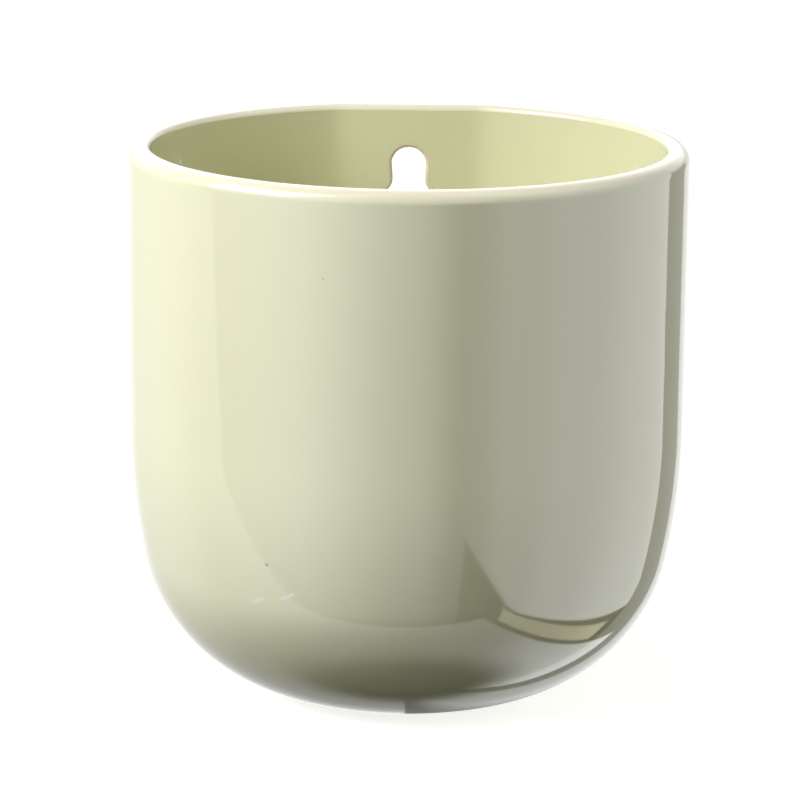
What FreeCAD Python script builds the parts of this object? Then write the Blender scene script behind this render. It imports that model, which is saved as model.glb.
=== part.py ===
import FreeCAD, Part
import math
import os

import Sketcher

# A wall planter: one glazed ceramic casting with an oval plan, a flat back, a big soft lower corner
# and a keyhole through the back wall, and two soft pads that keep the glaze off the wall.
# +Z is up, the front faces -Y and the flat back faces +Y. The origin lies under the middle of the
# whole part, in the plane that the foot stands on. Sizes are in millimetres and degrees.

SIZES = {
    "overall_width": 170.0,      # across the body, left to right
    "overall_height": 172.5,     # foot to rim
    "oval_depth": 144.5,         # front to back of the oval, before its back is cut flat
    "flat_cut": 2.8,             # how much of the oval the flat back takes off
    "wall": 7.0,                 # wall and floor of the casting
    "sweep_radius": 205.0,       # the long, gently bent curve below the straight wall
    "sweep_angle": 11.2,
    "corner_radius": 55.4,       # the big lower corner
    "corner_angle": 63.1,
    "sole_radius": 30.0,         # from the lower corner in to the foot
    "back_edge_round": 36.0,     # where the oval turns into the flat back, outside
    "rim_outer_round": 3.8,
    "rim_inner_round": 1.8,
    "foot_height": 1.5,          # the foot ring stands this far below the sole
    "foot_ring_width": 6.0,
    "foot_recess": 1.2,          # depth of the hollow inside the foot ring
    "foot_edge_round": 0.6,
    "seat_diameter": 10.9,       # keyhole: the round top that hangs on a screw's shank
    "seat_drop": 19.15,          # rim to the middle of the round top
    "neck_width": 10.2,          # keyhole: its narrowest place
    "head_diameter": 17.0,       # keyhole: the opening that a screw's head goes through
    "head_drop": 13.65,          # middle of the round top to the middle of the head opening
    "neck_round": 4.0,           # corners between the neck and the head opening
    "keyhole_edge_round": 1.1,
    "pad_diameter": 10.0,
    "pad_thickness": 1.8,
    "pad_edge_round": 0.8,
    "pad_spacing": 22.0,         # middle to middle
    "pad_height": 80.0,          # above the foot's plane
}

TRIM = 5.0        # how far a cutting form reaches past what it cuts
ON_PLANE = 0.01   # an edge this close to a plane lies in it
RIM_SHARE = (0.63, 0.33)   # most of the wall that the outer and the inner rim rounding may take

# where things are, as the sheet's own expressions
HALF_WIDTH = "Sizes.overall_width / 2"
HALF_DEPTH = "Sizes.oval_depth / 2"
BACK = "(Sizes.oval_depth / 2 - Sizes.flat_cut)"
CENTRING = "(Sizes.flat_cut - Sizes.pad_thickness) / 2"


def make_sheet(doc):
    """Keep the driving sizes in a spreadsheet, one alias each."""
    sheet = doc.addObject("Spreadsheet::Sheet", "Sizes")
    for row, (name, value) in enumerate(SIZES.items(), start=1):
        sheet.set("A%d" % row, name)
        sheet.set("B%d" % row, str(value))
        sheet.setAlias("B%d" % row, name)
    doc.recompute()
    return sheet


def new_body(doc, name):
    """Add an empty body with a label of its own."""
    body = doc.addObject("PartDesign::Body", name)
    body.Label = name
    return body


def new_sketch(body, name, role):
    """Add a sketch on one of the body's own origin planes."""
    sketch = body.newObject("Sketcher::SketchObject", name)
    plane = [item for item in body.Origin.OriginFeatures if item.Role == role][0]
    sketch.AttachmentSupport = [(plane, "")]
    sketch.MapMode = "FlatFace"
    return sketch


def bind(sketch, constraint, name, expression):
    """Add a constraint with a name and tie it to the sheet."""
    index = sketch.addConstraint(constraint)
    sketch.renameConstraint(index, name)
    sketch.setExpression("Constraints." + name, expression)


def line(sketch, start, end):
    """Add a straight line between two (x, y) points and return its index."""
    return sketch.addGeometry(Part.LineSegment(FreeCAD.Vector(*start, 0), FreeCAD.Vector(*end, 0)))


def arc(sketch, centre, radius, start, end):
    """Add an arc, counter-clockwise between two angles in radians, and return its index."""
    circle = Part.Circle(FreeCAD.Vector(*centre, 0), FreeCAD.Vector(0, 0, 1), radius)
    return sketch.addGeometry(Part.ArcOfCircle(circle, start, end))


def curve_centres(sheet):
    """Work out the foot's radius and the centres of the three arcs of the outer profile."""
    first = math.radians(90 - sheet.sweep_angle - sheet.corner_angle)
    second = math.radians(90 - sheet.sweep_angle)
    sweep, corner, sole = sheet.sweep_radius, sheet.corner_radius, sheet.sole_radius
    foot = (sheet.overall_width / 2 - sweep * (1 - math.sin(second))
            - corner * (math.sin(second) - math.sin(first)) - sole * math.sin(first))
    sole_centre = (foot, sheet.foot_height + sole)
    corner_centre = (sole_centre[0] + (sole - corner) * math.sin(first),
                     sole_centre[1] - (sole - corner) * math.cos(first))
    sweep_centre = (corner_centre[0] + (corner - sweep) * math.sin(second),
                    corner_centre[1] - (corner - sweep) * math.cos(second))
    return first, second, sole_centre, corner_centre, sweep_centre


def side_curve(sketch, sheet, inset, top):
    """Draw sole arc, corner arc, sweep arc and straight wall, inset from the outer face."""
    first, second, sole_centre, corner_centre, sweep_centre = curve_centres(sheet)
    depth = sheet.wall if inset == "Sizes.wall" else 0.0
    turn = 1.5 * math.pi
    sole = arc(sketch, sole_centre, sheet.sole_radius - depth, turn, turn + first)
    corner = arc(sketch, corner_centre, sheet.corner_radius - depth, turn + first, turn + second)
    sweep = arc(sketch, sweep_centre, sheet.sweep_radius - depth, turn + second, 2 * math.pi)
    side = sheet.overall_width / 2 - depth
    wall = line(sketch, (side, sweep_centre[1]), (side, top))
    sketch.addConstraint(Sketcher.Constraint("Vertical", sole, 3, sole, 1))
    sketch.addConstraint(Sketcher.Constraint("Tangent", sole, 2, corner, 1))
    sketch.addConstraint(Sketcher.Constraint("Tangent", corner, 2, sweep, 1))
    sketch.addConstraint(Sketcher.Constraint("Tangent", sweep, 2, wall, 1))
    sketch.addConstraint(Sketcher.Constraint("Vertical", wall))
    radii = (("sole", sole), ("corner", corner), ("sweep", sweep))
    for name, index in radii:
        radius = getattr(sheet, name + "_radius") - depth
        bind(sketch, Sketcher.Constraint("Radius", index, radius), name + "_radius",
             "Sizes.%s_radius - %s" % (name, inset))
    for name, index, span in (("corner", corner, second - first), ("sweep", sweep, math.pi / 2 - second)):
        bind(sketch, Sketcher.Constraint("Angle", index, span), name + "_angle",
             "Sizes.%s_angle * 1 deg" % name)
    bind(sketch, Sketcher.Constraint("DistanceX", -1, 1, wall, 2, side), "half_width",
         "%s - %s" % (HALF_WIDTH, inset))
    bind(sketch, Sketcher.Constraint("DistanceY", -1, 1, sole, 1, sheet.foot_height + depth),
         "sole_height", "Sizes.foot_height + %s" % inset)
    bind(sketch, Sketcher.Constraint("DistanceY", -1, 1, wall, 2, top), "top",
         "Sizes.overall_height + %g" % TRIM)
    return sole, wall


def outer_profile(sketch, sheet):
    """Draw half of the outer form, with the foot ring and the hollow inside it."""
    top = sheet.overall_height + TRIM
    sole, wall = side_curve(sketch, sheet, "0", top)
    foot = curve_centres(sheet)[2][0]
    inner = foot - sheet.foot_ring_width
    lid = line(sketch, (sheet.overall_width / 2, top), (0, top))
    axis = line(sketch, (0, top), (0, sheet.foot_recess))
    recess = line(sketch, (0, sheet.foot_recess), (inner, sheet.foot_recess))
    ring_inside = line(sketch, (inner, sheet.foot_recess), (inner, -TRIM))
    ring_end = line(sketch, (inner, -TRIM), (foot, -TRIM))
    ring_outside = line(sketch, (foot, -TRIM), (foot, sheet.foot_height))
    chain = [wall, lid, axis, recess, ring_inside, ring_end, ring_outside]
    for before, after in zip(chain, chain[1:] + [sole]):
        sketch.addConstraint(Sketcher.Constraint("Coincident", before, 2, after, 1))
    for level in (lid, recess, ring_end):
        sketch.addConstraint(Sketcher.Constraint("Horizontal", level))
    for upright in (ring_inside, ring_outside):
        sketch.addConstraint(Sketcher.Constraint("Vertical", upright))
    sketch.addConstraint(Sketcher.Constraint("PointOnObject", axis, 1, -2))
    sketch.addConstraint(Sketcher.Constraint("PointOnObject", axis, 2, -2))
    bind(sketch, Sketcher.Constraint("DistanceY", -1, 1, recess, 1, sheet.foot_recess),
         "recess", "Sizes.foot_recess")
    bind(sketch, Sketcher.Constraint("DistanceX", ring_end, 1, ring_end, 2, sheet.foot_ring_width),
         "ring_width", "Sizes.foot_ring_width")
    bind(sketch, Sketcher.Constraint("DistanceY", ring_end, 2, -1, 1, TRIM), "ring_end", "%g" % TRIM)


def inner_profile(sketch, sheet):
    """Draw half of the hollow: the outer curve moved in by the wall."""
    top = sheet.overall_height + TRIM
    sole, wall = side_curve(sketch, sheet, "Sizes.wall", top)
    foot = curve_centres(sheet)[2][0]
    floor_height = sheet.foot_height + sheet.wall
    lid = line(sketch, (sheet.overall_width / 2 - sheet.wall, top), (0, top))
    axis = line(sketch, (0, top), (0, floor_height))
    floor = line(sketch, (0, floor_height), (foot, floor_height))
    chain = [wall, lid, axis, floor]
    for before, after in zip(chain, chain[1:] + [sole]):
        sketch.addConstraint(Sketcher.Constraint("Coincident", before, 2, after, 1))
    for level in (lid, floor):
        sketch.addConstraint(Sketcher.Constraint("Horizontal", level))
    sketch.addConstraint(Sketcher.Constraint("PointOnObject", axis, 1, -2))
    sketch.addConstraint(Sketcher.Constraint("PointOnObject", axis, 2, -2))


def oval_form(doc, sheet, name, draw, inset, top):
    """Turn a profile into a round form, make it oval and cut its back flat."""
    body = new_body(doc, name + "_round")
    sketch = new_sketch(body, name + "_profile", "XZ_Plane")
    draw(sketch, sheet)
    turned = body.newObject("PartDesign::Revolution", name + "_turned")
    turned.Profile = sketch
    turned.ReferenceAxis = (sketch, ["V_Axis"])
    turned.Angle = 360
    doc.recompute()
    oval = doc.addObject("Part::Scale", name + "_oval")
    oval.Base = body
    oval.Uniform = False
    oval.XScale = 1.0
    oval.setExpression("YScale", "(%s - %s) / (%s - %s)" % (HALF_DEPTH, inset, HALF_WIDTH, inset))
    oval.ZScale = 1.0
    limits = doc.addObject("Part::Box", name + "_limits")
    limits.setExpression("Length", "Sizes.overall_width + %g" % (2 * TRIM))
    limits.setExpression("Width", "%s + %g + %s - %s" % (HALF_DEPTH, TRIM, BACK, inset))
    limits.setExpression("Height", top)
    limits.setExpression("Placement.Base.x", "-Sizes.overall_width / 2 - %g" % TRIM)
    limits.setExpression("Placement.Base.y", "-%s - %g" % (HALF_DEPTH, TRIM))
    form = doc.addObject("Part::MultiCommon", name + "_form")
    form.Shapes = [oval, limits]
    doc.recompute()
    return form


def edges_where(shape, test):
    """Name the edges whose points all pass a test."""
    return ["Edge%d" % index for index, edge in enumerate(shape.Edges, start=1)
            if all(test(point) for point in edge.discretize(7))]


def start_from(doc, name, form):
    """Start a body from a form that was made before."""
    body = new_body(doc, name)
    body.BaseFeature = form
    doc.recompute()
    return body


def round_edges(body, name, names, radius):
    """Round edges of the body's last feature by a radius that is tied to the sheet."""
    if not names:
        raise RuntimeError("no edges found for " + name)
    base = body.Tip
    fillet = body.newObject("PartDesign::Fillet", name)
    fillet.Base = (base, names)
    fillet.setExpression("Radius", radius)
    body.Document.recompute()
    return fillet


def back_edges(shape, back, top):
    """Find where the flat back turns into the oval: its outline, less the straight top edge."""
    def on_outline(point):
        return abs(point.y - back) < ON_PLANE

    def along_top(point):
        return abs(point.z - top) < ON_PLANE

    straight = edges_where(shape, lambda point: on_outline(point) and along_top(point))
    return [name for name in edges_where(shape, on_outline) if name not in straight]


def rim_edges(shape, sheet, outside):
    """Find the rim's outer or inner edges, told apart at the middle of the wall's thickness."""
    half_width = (sheet.overall_width - sheet.wall) / 2
    half_depth = (sheet.oval_depth - sheet.wall) / 2
    back = half_depth - sheet.flat_cut

    def test(point):
        level = abs(point.z - sheet.overall_height) < ON_PLANE
        beyond = (point.x / half_width) ** 2 + (point.y / half_depth) ** 2 > 1 or point.y > back
        return level and beyond == outside

    return edges_where(shape, test)


def keyhole_outline(sketch, sheet):
    """Draw the keyhole: a round top, sides that close in to a neck, and a round head opening."""
    seat, head = sheet.seat_diameter / 2, sheet.head_diameter / 2
    neck, soft = sheet.neck_width / 2, sheet.neck_round
    seat_level = sheet.overall_height - sheet.seat_drop
    head_level = seat_level - sheet.head_drop
    reach = neck + soft
    soft_level = head_level + math.sqrt((head + soft) ** 2 - reach ** 2)
    spread = math.atan2(soft_level - head_level, reach)
    drop = seat_level - soft_level
    lean = math.atan2(drop, reach) - math.acos((seat + soft) / math.hypot(reach, drop))
    top = arc(sketch, (0, seat_level), seat, -lean, math.pi + lean)
    bottom = arc(sketch, (0, head_level), head, math.pi - spread, 2 * math.pi + spread)
    left = arc(sketch, (-reach, soft_level), soft, -spread, lean)
    right = arc(sketch, (reach, soft_level), soft, math.pi - lean, math.pi + spread)
    shoulder = (seat * math.cos(lean), seat_level - seat * math.sin(lean))
    waist = (reach - soft * math.cos(lean), soft_level + soft * math.sin(lean))
    left_side = line(sketch, (-shoulder[0], shoulder[1]), (-waist[0], waist[1]))
    right_side = line(sketch, waist, shoulder)
    for joint in ((top, 2, left_side, 1), (left_side, 2, left, 2), (left, 1, bottom, 1),
                  (bottom, 2, right, 2), (right, 1, right_side, 1), (right_side, 2, top, 1)):
        sketch.addConstraint(Sketcher.Constraint("Tangent", *joint))
    sketch.addConstraint(Sketcher.Constraint("PointOnObject", top, 3, -2))
    sketch.addConstraint(Sketcher.Constraint("PointOnObject", bottom, 3, -2))
    sketch.addConstraint(Sketcher.Constraint("Symmetric", left, 3, right, 3, -2))
    bind(sketch, Sketcher.Constraint("Radius", top, seat), "seat", "Sizes.seat_diameter / 2")
    bind(sketch, Sketcher.Constraint("Radius", bottom, head), "head", "Sizes.head_diameter / 2")
    bind(sketch, Sketcher.Constraint("Radius", left, soft), "neck_round", "Sizes.neck_round")
    bind(sketch, Sketcher.Constraint("DistanceY", -1, 1, top, 3, seat_level), "seat_level",
         "Sizes.overall_height - Sizes.seat_drop")
    bind(sketch, Sketcher.Constraint("DistanceY", bottom, 3, top, 3, sheet.head_drop), "head_drop",
         "Sizes.head_drop")
    bind(sketch, Sketcher.Constraint("DistanceX", left, 3, right, 3, 2 * reach), "neck",
         "Sizes.neck_width + 2 * Sizes.neck_round")


def cut_keyhole(doc, pot, sheet):
    """Cut the keyhole through the back wall, and make sure that it went that way."""
    outline = new_sketch(pot, "keyhole_outline", "XZ_Plane")
    keyhole_outline(outline, sheet)
    before = pot.Tip.Shape
    pocket = pot.newObject("PartDesign::Pocket", "keyhole")
    pocket.Profile = outline
    pocket.Type = "ThroughAll"
    doc.recompute()
    lost = before.cut(pocket.Shape)
    if lost.Volume < sheet.wall or lost.BoundBox.YMin < 0:
        raise RuntimeError("the keyhole missed the back wall")


def keyhole_edges(shape, sheet, level):
    """Find the keyhole's outline on one face of the back wall, at y = level."""
    seat_level = sheet.overall_height - sheet.seat_drop
    top = seat_level + sheet.seat_diameter / 2 + ON_PLANE
    bottom = seat_level - sheet.head_drop - sheet.head_diameter / 2 - ON_PLANE
    side = sheet.head_diameter / 2 + ON_PLANE
    return edges_where(shape, lambda point: abs(point.y - level) < ON_PLANE
                       and bottom < point.z < top and abs(point.x) < side)


def make_pot(doc, sheet):
    """Make the casting: an oval shell with a flat back, a rounded rim, a foot ring and a keyhole."""
    outer = oval_form(doc, sheet, "outer", outer_profile, "0", "Sizes.overall_height")
    core = oval_form(doc, sheet, "core", inner_profile, "Sizes.wall", "Sizes.overall_height + %g" % TRIM)
    back = sheet.oval_depth / 2 - sheet.flat_cut

    hollow = start_from(doc, "hollow", core)
    names = back_edges(hollow.Tip.Shape, back - sheet.wall, sheet.overall_height + TRIM)
    round_edges(hollow, "hollow_corners", names, "Sizes.back_edge_round - Sizes.wall")

    pot = start_from(doc, "ceramic_pot", outer)
    names = back_edges(pot.Tip.Shape, back, sheet.overall_height)
    round_edges(pot, "back_corners", names, "Sizes.back_edge_round")
    shell = pot.newObject("PartDesign::Boolean", "shell")
    shell.Type = "Cut"
    shell.setObjects([hollow])
    doc.recompute()

    for name, outside, share in (("rim_outer_round", True, RIM_SHARE[0]),
                                 ("rim_inner_round", False, RIM_SHARE[1])):
        edges = rim_edges(pot.Tip.Shape, sheet, outside)
        round_edges(pot, name, edges, "min(Sizes.%s; %g * Sizes.wall)" % (name, share))

    cut_keyhole(doc, pot, sheet)
    for name, level in (("keyhole_inside", back - sheet.wall), ("keyhole_outside", back)):
        edges = keyhole_edges(pot.Tip.Shape, sheet, level)
        round_edges(pot, name, edges, "Sizes.keyhole_edge_round")

    foot_edges = edges_where(pot.Tip.Shape, lambda point: abs(point.z) < ON_PLANE)
    round_edges(pot, "foot_edges", foot_edges, "Sizes.foot_edge_round")
    pot.setExpression("Placement.Base.y", CENTRING)
    return pot


def make_pad(doc, name, side):
    """Make one soft pad, stuck flat to the back; side is -1 for the left one and 1 for the right."""
    body = new_body(doc, name)
    sketch = new_sketch(body, name + "_outline", "XZ_Plane")
    circle = sketch.addGeometry(Part.Circle(FreeCAD.Vector(0, 0, 0), FreeCAD.Vector(0, 0, 1),
                                            SIZES["pad_diameter"] / 2))
    sketch.addConstraint(Sketcher.Constraint("Coincident", circle, 3, -1, 1))
    bind(sketch, Sketcher.Constraint("Diameter", circle, SIZES["pad_diameter"]), "diameter",
         "Sizes.pad_diameter")
    pad = body.newObject("PartDesign::Pad", name + "_disc")
    pad.Profile = sketch
    pad.Reversed = True
    pad.setExpression("Length", "Sizes.pad_thickness")
    doc.recompute()
    face = SIZES["pad_thickness"]
    edges = edges_where(pad.Shape, lambda point: abs(point.y - face) < ON_PLANE)
    round_edges(body, name + "_soft_edge", edges, "Sizes.pad_edge_round")
    body.setExpression("Placement.Base.x", "%d * Sizes.pad_spacing / 2" % side)
    body.setExpression("Placement.Base.y", "%s + %s" % (BACK, CENTRING))
    body.setExpression("Placement.Base.z", "Sizes.pad_height")
    return body


def check(doc, parts):
    """Stop if anything in the document failed, or if a sub-part isn't one sound solid."""
    for item in doc.Objects:
        if "Invalid" in item.State or "Error" in item.State:
            raise RuntimeError("%s failed: %s" % (item.Name, item.State))
    for part in parts:
        shape = part.Shape
        if shape.isNull() or not shape.isValid() or len(shape.Solids) != 1:
            raise RuntimeError("%s is not one sound solid" % part.Label)
        box = shape.Solids[0].optimalBoundingBox()
        print("%-16s %9.1f mm3  x %.2f %.2f  y %.2f %.2f  z %.2f %.2f" % (
            part.Label, shape.Volume, box.XMin, box.XMax, box.YMin, box.YMax, box.ZMin, box.ZMax))


def main():
    """Build the planter and write one file for each sub-part."""
    os.makedirs("parts", exist_ok=True)
    doc = FreeCAD.newDocument("WallPlanter")
    sheet = make_sheet(doc)
    parts = [make_pot(doc, sheet)]
    parts += [make_pad(doc, "wall_pad_" + name, side) for name, side in (("left", -1), ("right", 1))]
    doc.recompute()
    check(doc, parts)
    for part in parts:
        part.Shape.exportStep("parts/%s.step" % part.Label)


main()
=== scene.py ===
"""A glazed wall pot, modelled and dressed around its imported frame, with a studio to look at it in.

Every length is in metres, in the frame's own axes: the flat back faces +Y, the front -Y, and the foot
stands at z = 0.
"""

import logging
import math
from dataclasses import dataclass, replace
from enum import Enum
from itertools import pairwise

import bmesh
import bpy
from mathutils import Matrix, Vector


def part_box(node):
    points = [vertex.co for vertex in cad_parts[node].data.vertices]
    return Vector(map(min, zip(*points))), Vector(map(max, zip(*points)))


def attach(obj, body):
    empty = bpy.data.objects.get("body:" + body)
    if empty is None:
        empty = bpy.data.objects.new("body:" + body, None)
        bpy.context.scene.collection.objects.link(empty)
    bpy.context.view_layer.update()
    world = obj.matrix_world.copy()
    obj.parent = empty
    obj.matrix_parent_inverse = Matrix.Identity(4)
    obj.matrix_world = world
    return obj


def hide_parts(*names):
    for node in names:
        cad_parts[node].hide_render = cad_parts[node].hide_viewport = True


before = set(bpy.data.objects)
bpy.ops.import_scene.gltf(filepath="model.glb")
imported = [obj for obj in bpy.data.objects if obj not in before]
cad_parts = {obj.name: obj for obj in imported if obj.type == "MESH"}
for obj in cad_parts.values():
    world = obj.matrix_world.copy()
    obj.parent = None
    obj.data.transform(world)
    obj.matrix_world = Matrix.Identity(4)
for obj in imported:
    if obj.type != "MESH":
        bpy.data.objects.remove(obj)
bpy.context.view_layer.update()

MM = 0.001
BODY = "root"
PHOTO_SIDE = 800
MERGE_GAP = 1e-6
LOG = logging.getLogger("wall_pot")

Pair = tuple[float, float]
Place = tuple[float, float, float]
Colour = tuple[float, float, float]
Stops = tuple[Pair, ...]
Tree = bpy.types.NodeTree
Output = bpy.types.Node | bpy.types.NodeSocket
Term = float | Output


class Node(Enum):
    """The frame's nodes that the pieces here stand for."""

    POT = "ceramic_pot"
    PAD_LEFT = "wall_pad_left"
    PAD_RIGHT = "wall_pad_right"


class Slot(Enum):
    """The names of the material slots."""

    GLAZE = "glaze"
    PAD = "pad"


# ---------------- modelling helpers


def deselect_all() -> None:
    """Leave nothing selected and nothing active."""
    if bpy.context.mode != "OBJECT":
        bpy.ops.object.mode_set(mode="OBJECT")
    bpy.ops.object.select_all(action="DESELECT")
    bpy.context.view_layer.objects.active = None


def activate(piece: bpy.types.Object) -> None:
    """Select one object alone and make it active.

    Args:
        piece: the object.
    """
    deselect_all()
    piece.select_set(True)
    bpy.context.view_layer.objects.active = piece


def settle(piece: bpy.types.Object) -> None:
    """Move an object's place, turn and scale into its mesh."""
    activate(piece)
    bpy.ops.object.transform_apply(location=True, rotation=True, scale=True)


def edit_all(piece: bpy.types.Object, mode: str) -> None:
    """Go into an object's edit mode with everything selected.

    Args:
        piece: the object.
        mode: what is picked there, edges or faces.
    """
    activate(piece)
    bpy.ops.object.mode_set(mode="EDIT")
    bpy.ops.mesh.select_mode(type=mode)
    bpy.ops.mesh.select_all(action="SELECT")


def leave_edit() -> None:
    """Turn every face of the edited mesh outwards and leave edit mode."""
    bpy.ops.mesh.select_all(action="SELECT")
    bpy.ops.mesh.normals_make_consistent(inside=False)
    bpy.ops.object.mode_set(mode="OBJECT")


def apply_modifier(piece: bpy.types.Object, kind: str, **values: object) -> None:
    """Add one modifier, give it its values and apply it.

    Args:
        piece: the object that is modified.
        kind: the modifier's type.
        values: the modifier's properties by name.
    """
    activate(piece)
    modifier = piece.modifiers.new(kind.lower(), kind)
    for name, value in values.items():
        setattr(modifier, name, value)
    bpy.ops.object.modifier_apply(modifier=modifier.name)


def arc_points(
    centre: Pair, radius: float, start: float, end: float, count: int
) -> list[Vector]:
    """Points along an arc, both ends included.

    Args:
        centre: the arc's centre in its plane.
        radius: the arc's radius.
        start: the first point's angle in degrees.
        end: the last point's angle in degrees.
        count: how many stretches the arc is divided into.

    Returns:
        count + 1 points in the plane.
    """
    points = []
    for step in range(count + 1):
        angle = math.radians(start + (end - start) * step / count)
        across = centre[0] + radius * math.cos(angle)
        up = centre[1] + radius * math.sin(angle)
        points.append(Vector((across, up)))
    return points


# ---------------- the pot


@dataclass(frozen=True)
class Ring:
    """One level ring of the pot's skin, an oval that its back plane flattens."""

    half_width: float
    half_depth: float
    height: float
    back: float


@dataclass
class PotCasting:
    """The cast pot: an oval cup with a flattened back, a soft lower corner, a foot ring and a keyhole."""

    low: Vector
    high: Vector
    flat_cut: float = 2.8 * MM
    wall: float = 7.0 * MM
    back_edge_round: float = 36 * MM
    sweep_radius: float = 205 * MM
    sweep_angle: float = 11.2
    corner_radius: float = 55.4 * MM
    corner_angle: float = 63.1
    sole_radius: float = 30 * MM
    rim_outer_round: float = 3.8 * MM
    rim_inner_round: float = 1.8 * MM
    foot_height: float = 1.5 * MM
    foot_ring_width: float = 6 * MM
    foot_recess: float = 1.2 * MM
    foot_edge_round: float = 0.6 * MM
    recess_radii: tuple[float, ...] = (4 * MM, 14 * MM, 22 * MM)
    recess_margin: float = 1 * MM
    floor_radii: tuple[float, ...] = (22 * MM, 12 * MM, 4 * MM)
    seat_radius: float = 5.45 * MM
    seat_drop: float = 19.15 * MM
    head_radius: float = 8.5 * MM
    head_drop: float = 13.65 * MM
    neck_half_width: float = 5.1 * MM
    neck_round: float = 4 * MM
    keyhole_edge_round: float = 1.1 * MM
    columns: int = 320
    sole_steps: int = 8
    corner_steps: int = 40
    sweep_steps: int = 24
    straight_steps: int = 30
    rim_outer_steps: int = 12
    rim_inner_steps: int = 9
    foot_edge_steps: int = 5
    seat_steps: int = 22
    neck_steps: int = 12
    head_steps: int = 28
    keyhole_edge_steps: int = 7
    crease_angle: float = 50.0
    normal_weight: int = 80

    def __post_init__(self) -> None:
        """Work out the oval and its plan from the frame's box."""
        self.half_width = (self.high.x - self.low.x) / 2
        self.height = self.high.z
        self.back = self.high.y
        self.half_depth = (self.high.y - self.low.y + self.flat_cut) / 2
        self.centre_y = self.low.y + self.half_depth
        self.outer_ratio = self.half_depth / self.half_width
        self.inner_ratio = (self.half_depth - self.wall) / (self.half_width - self.wall)
        self.seat_height = self.height - self.seat_drop
        self.head_height = self.seat_height - self.head_drop

    def corner_ease(self, inset: float) -> float:
        """How far either side of the back plane the turn from the oval to the flat reaches.

        Args:
            inset: how far the face is moved in from the outer one.

        Returns:
            The reach along y that suits the corner's radius.
        """
        width, depth = self.half_width - inset, self.half_depth - inset
        level = self.back - self.centre_y - inset
        edge = width * math.sqrt(1 - (level / depth) ** 2)
        turn = math.atan((depth / width) ** 2 * edge / level)
        return (self.back_edge_round - inset) * (1 - math.cos(turn))

    def side_curve(self, inset: float) -> list[Vector]:
        """The wall's curve from the sole to the top of the long sweep, as half widths and heights.

        Args:
            inset: how far the curve is moved in from the outer face.

        Returns:
            Points from the sole's start up to the foot of the straight wall.
        """
        bend = math.radians(self.sweep_angle)
        turn = math.radians(self.sweep_angle + self.corner_angle)
        sweep_x = self.half_width - self.sweep_radius
        corner_x = sweep_x + (self.sweep_radius - self.corner_radius) * math.cos(bend)
        sole_x = corner_x + (self.corner_radius - self.sole_radius) * math.cos(turn)
        sole_z = self.foot_height + self.sole_radius
        corner_z = sole_z + (self.corner_radius - self.sole_radius) * math.sin(turn)
        sweep_z = corner_z + (self.sweep_radius - self.corner_radius) * math.sin(bend)
        tip, toe = -self.sweep_angle, -self.sweep_angle - self.corner_angle
        sole = arc_points((sole_x, sole_z), self.sole_radius - inset, -90, toe, self.sole_steps)
        corner_radius = self.corner_radius - inset
        corner = arc_points((corner_x, corner_z), corner_radius, toe, tip, self.corner_steps)
        sweep = arc_points((sweep_x, sweep_z), self.sweep_radius - inset, tip, 0, self.sweep_steps)
        return sole + corner[1:] + sweep[1:]

    def foot_rings(self) -> list[Ring]:
        """The recess under the pot and the foot ring.

        Returns:
            Their rings, from the middle out.
        """
        sole_x = self.side_curve(0)[0].x
        inside = sole_x - self.foot_ring_width
        soft = self.foot_edge_round
        radii = (*self.recess_radii, inside - self.recess_margin, inside)
        curve = [Vector((radius, self.foot_recess)) for radius in radii]
        curve.append(Vector((inside, soft)))
        curve += arc_points((inside + soft, soft), soft, 180, 270, self.foot_edge_steps)[1:]
        curve += arc_points((sole_x - soft, soft), soft, -90, 0, self.foot_edge_steps)
        return [Ring(p.x, p.x * self.outer_ratio, p.y, self.back) for p in curve]

    def rim_rings(self) -> list[Ring]:
        """The rim, rounded over.

        Returns:
            Its rings, from the outer face to the inner one.
        """
        wide, tight = self.rim_outer_round, self.rim_inner_round
        outer = arc_points((wide, self.height - wide), wide, 180, 90, self.rim_outer_steps)
        inner_centre = (self.wall - tight, self.height - tight)
        inner = arc_points(inner_centre, tight, 90, 0, self.rim_inner_steps)
        half_width, half_depth, back = self.half_width, self.half_depth, self.back
        return [Ring(half_width - p.x, half_depth - p.x, p.y, back - p.x) for p in outer + inner]

    def straight_rings(self, like: Ring, start: float, end: float) -> list[Ring]:
        """Rings of one size between two heights.

        Args:
            like: the ring that is repeated.
            start: the height that they leave.
            end: the height that they stop short of.

        Returns:
            The rings in order, without one at either end.
        """
        steps = self.straight_steps
        return [replace(like, height=start + (end - start) * step / steps) for step in range(1, steps)]

    def rings(self) -> list[Ring]:
        """Every ring of the skin.

        Returns:
            The rings from under the foot, up the outside, over the rim and down to the floor.
        """
        lining = self.back - self.wall
        outside = [Ring(p.x, p.x * self.outer_ratio, p.y, self.back) for p in self.side_curve(0)]
        inside = [Ring(p.x, p.x * self.inner_ratio, p.y, lining) for p in self.side_curve(self.wall)]
        rim = self.rim_rings()
        straight_from = outside[-1].height
        climb = self.straight_rings(rim[0], straight_from, rim[0].height)
        fall = self.straight_rings(rim[-1], rim[-1].height, straight_from)
        floor = [Ring(r, r * self.inner_ratio, inside[0].height, lining) for r in self.floor_radii]
        return self.foot_rings() + outside + climb + rim + fall + inside[::-1] + floor

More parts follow.
